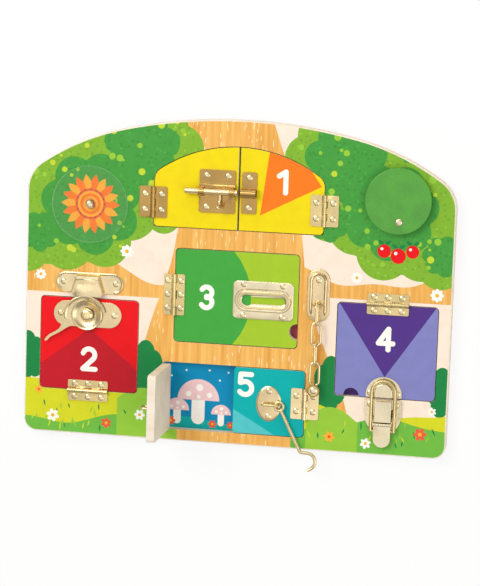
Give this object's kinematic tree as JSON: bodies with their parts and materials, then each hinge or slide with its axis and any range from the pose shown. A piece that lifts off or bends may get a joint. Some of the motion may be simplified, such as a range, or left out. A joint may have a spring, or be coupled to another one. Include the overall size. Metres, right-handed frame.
{
  "type": "busy board",
  "caption": "Flat wooden latch board with small doors, hinges, a bolt, sash lever, chain, toggle latch, hook and spinning discs.",
  "frame": {"origin": "centre of the flat back face", "axes": "+X to the right along the board, +Y to the top of the board, +Z out of the printed face"},
  "size_m": [0.4, 0.3209, 0.0816],
  "materials": {
    "printed_panel": "printed plywood",
    "back_board": "plain plywood",
    "clear_acrylic": "clear",
    "green_disc": "printed plywood",
    "screw_brass": "satin",
    "chain_brass": "polished",
    "plated_brass": "polished",
    "print_1_left": "printed plywood",
    "print_1_right": "printed plywood",
    "print_2": "printed plywood",
    "print_3": "printed plywood",
    "print_4": "printed plywood",
    "print_5_left": "printed plywood",
    "print_5_right": "printed plywood"
  },
  "bodies": {
    "board": {"board_panel": "printed_panel", "back_panel": "back_board", "hinge_1_left_frame": "plated_brass", "hinge_1_right_frame": "plated_brass", "hinge_2_frame": "plated_brass", "hinge_3_frame": "plated_brass", "hinge_4_frame": "plated_brass", "hinge_5_left_frame": "plated_brass", "hinge_5_right_frame": "plated_brass", "hinge_pins": "plated_brass", "board_screws": "screw_brass", "sash_keeper": "plated_brass", "chain_anchor": "chain_brass", "latch_base": "plated_brass", "clear_disc_screw": "screw_brass", "green_disc_screw": "screw_brass"},
    "door_1_left": {"door_1_left": "print_1_left", "hinge_1_left_leaf": "plated_brass", "door_1_left_screws": "screw_brass", "bolt_plate": "plated_brass"},
    "door_1_right": {"door_1_right": "print_1_right", "hinge_1_right_leaf": "plated_brass", "door_1_right_screws": "screw_brass", "bolt_keeper": "plated_brass"},
    "door_2": {"door_2": "print_2", "hinge_2_leaf": "plated_brass", "door_2_screws": "screw_brass", "sash_base": "plated_brass", "sash_rivet": "plated_brass"},
    "door_3": {"door_3": "print_3", "hinge_3_leaf": "plated_brass", "door_3_screws": "screw_brass", "chain_slide_plate": "chain_brass"},
    "door_4": {"door_4": "print_4", "hinge_4_leaf": "plated_brass", "door_4_screws": "screw_brass", "catch_plate": "plated_brass"},
    "door_5_left": {"door_5_left": "print_5_left", "hinge_5_left_leaf": "plated_brass", "door_5_left_screws": "screw_brass", "catch_eye": "plated_brass"},
    "door_5_right": {"door_5_right": "print_5_right", "hinge_5_right_leaf": "plated_brass", "door_5_right_screws": "screw_brass", "eye_plate": "plated_brass"},
    "bolt_rod": {"bolt_rod": "plated_brass"},
    "sash_lever": {"sash_lever": "plated_brass"},
    "latch_lever": {"latch_lever": "plated_brass"},
    "latch_bail": {"latch_bail": "plated_brass"},
    "hook": {"hook": "plated_brass"},
    "chain_link_1": {"chain_link_1": "chain_brass"},
    "chain_link_2": {"chain_link_2": "chain_brass"},
    "chain_link_3": {"chain_link_3": "chain_brass"},
    "chain_link_4": {"chain_link_4": "chain_brass"},
    "chain_button": {"chain_button": "chain_brass"},
    "clear_disc": {"clear_disc": "clear_acrylic"},
    "green_disc": {"green_disc": "green_disc"}
  },
  "joints": [
    {"name": "hinge_1_left_turn", "type": "hinge", "parent": "board", "child": "door_1_left", "pos_m": [-0.08, 0.07245, 0.01425], "axis": [0, -1, 0], "range_deg": [0, 110]},
    {"name": "hinge_1_right_turn", "type": "hinge", "parent": "board", "child": "door_1_right", "pos_m": [0.08, 0.07245, 0.01425], "axis": [0, 1, 0], "range_deg": [0, 110]},
    {"name": "hinge_2_turn", "type": "hinge", "parent": "board", "child": "door_2", "pos_m": [-0.1383, -0.10955, 0.01425], "axis": [1, 0, 0], "range_deg": [0, 110]},
    {"name": "hinge_3_turn", "type": "hinge", "parent": "board", "child": "door_3", "pos_m": [-0.0578, -0.01295, 0.01425], "axis": [0, -1, 0], "range_deg": [0, 110]},
    {"name": "hinge_4_turn", "type": "hinge", "parent": "board", "child": "door_4", "pos_m": [0.1417, -0.01015, 0.01425], "axis": [-1, 0, 0], "range_deg": [0, 75]},
    {"name": "hinge_5_left_turn", "type": "hinge", "parent": "board", "child": "door_5_left", "pos_m": [-0.0682, -0.10815, 0.01425], "axis": [0, -1, 0], "range_deg": [-90, 20]},
    {"name": "hinge_5_right_turn", "type": "hinge", "parent": "board", "child": "door_5_right", "pos_m": [0.0682, -0.10815, 0.01425], "axis": [0, 1, 0], "range_deg": [0, 110]},
    {"name": "bolt_slide", "type": "slide", "parent": "door_1_left", "child": "bolt_rod", "axis": [1, 0, 0], "range_m": [-0.008, 0.0072]},
    {"name": "sash_lever_turn", "type": "hinge", "parent": "door_2", "child": "sash_lever", "pos_m": [-0.14, -0.03675, 0.0143], "axis": [0, 0, 1], "range_deg": [-45, 100]},
    {"name": "latch_lever_lift", "type": "hinge", "parent": "board", "child": "latch_lever", "pos_m": [0.1412, -0.12215, 0.0162], "axis": [-1, 0, 0], "range_deg": [0, 115]},
    {"name": "latch_bail_swing", "type": "hinge", "parent": "latch_lever", "child": "latch_bail", "pos_m": [0.1412, -0.12785, 0.0162], "axis": [1, 0, 0], "range_deg": [0, 290]},
    {"name": "hook_swing", "type": "hinge", "parent": "door_5_right", "child": "hook", "pos_m": [0.0442, -0.11015, 0.0159], "axis": [0, 0, 1], "range_deg": [-95, 0]},
    {"name": "chain_link_1_swing", "type": "hinge", "parent": "board", "child": "chain_link_1", "pos_m": [0.0772, -0.01435, 0.019], "axis": [0, 0, 1], "range_deg": [-18, 18]},
    {"name": "chain_link_2_swing", "type": "hinge", "parent": "chain_link_1", "child": "chain_link_2", "pos_m": [0.0772, -0.03175, 0.019], "axis": [0, 0, 1], "range_deg": [-12, 12]},
    {"name": "chain_link_3_swing", "type": "hinge", "parent": "chain_link_2", "child": "chain_link_3", "pos_m": [0.0772, -0.05025, 0.019], "axis": [0, 0, 1], "range_deg": [-12, 12]},
    {"name": "chain_link_4_swing", "type": "hinge", "parent": "chain_link_3", "child": "chain_link_4", "pos_m": [0.0772, -0.06875, 0.019], "axis": [0, 0, 1], "range_deg": [-12, 12]},
    {"name": "chain_button_swing", "type": "hinge", "parent": "chain_link_4", "child": "chain_button", "pos_m": [0.0772, -0.0874, 0.019], "axis": [0, 0, 1], "range_deg": [-12, 12]},
    {"name": "clear_disc_spin", "type": "hinge", "parent": "board", "child": "clear_disc", "pos_m": [-0.1397, 0.06725, 0.015], "axis": [0, 0, 1], "continuous": true},
    {"name": "green_disc_spin", "type": "hinge", "parent": "board", "child": "green_disc", "pos_m": [0.1492, 0.06665, 0.016], "axis": [0, 0, 1], "continuous": true}
  ],
  "couplings": [
    {"joint": "latch_lever_lift", "follows": "hinge_4_turn", "ratio": 1.5},
    {"joint": "latch_bail_swing", "follows": "hinge_4_turn", "ratio": 3.85}
  ]
}
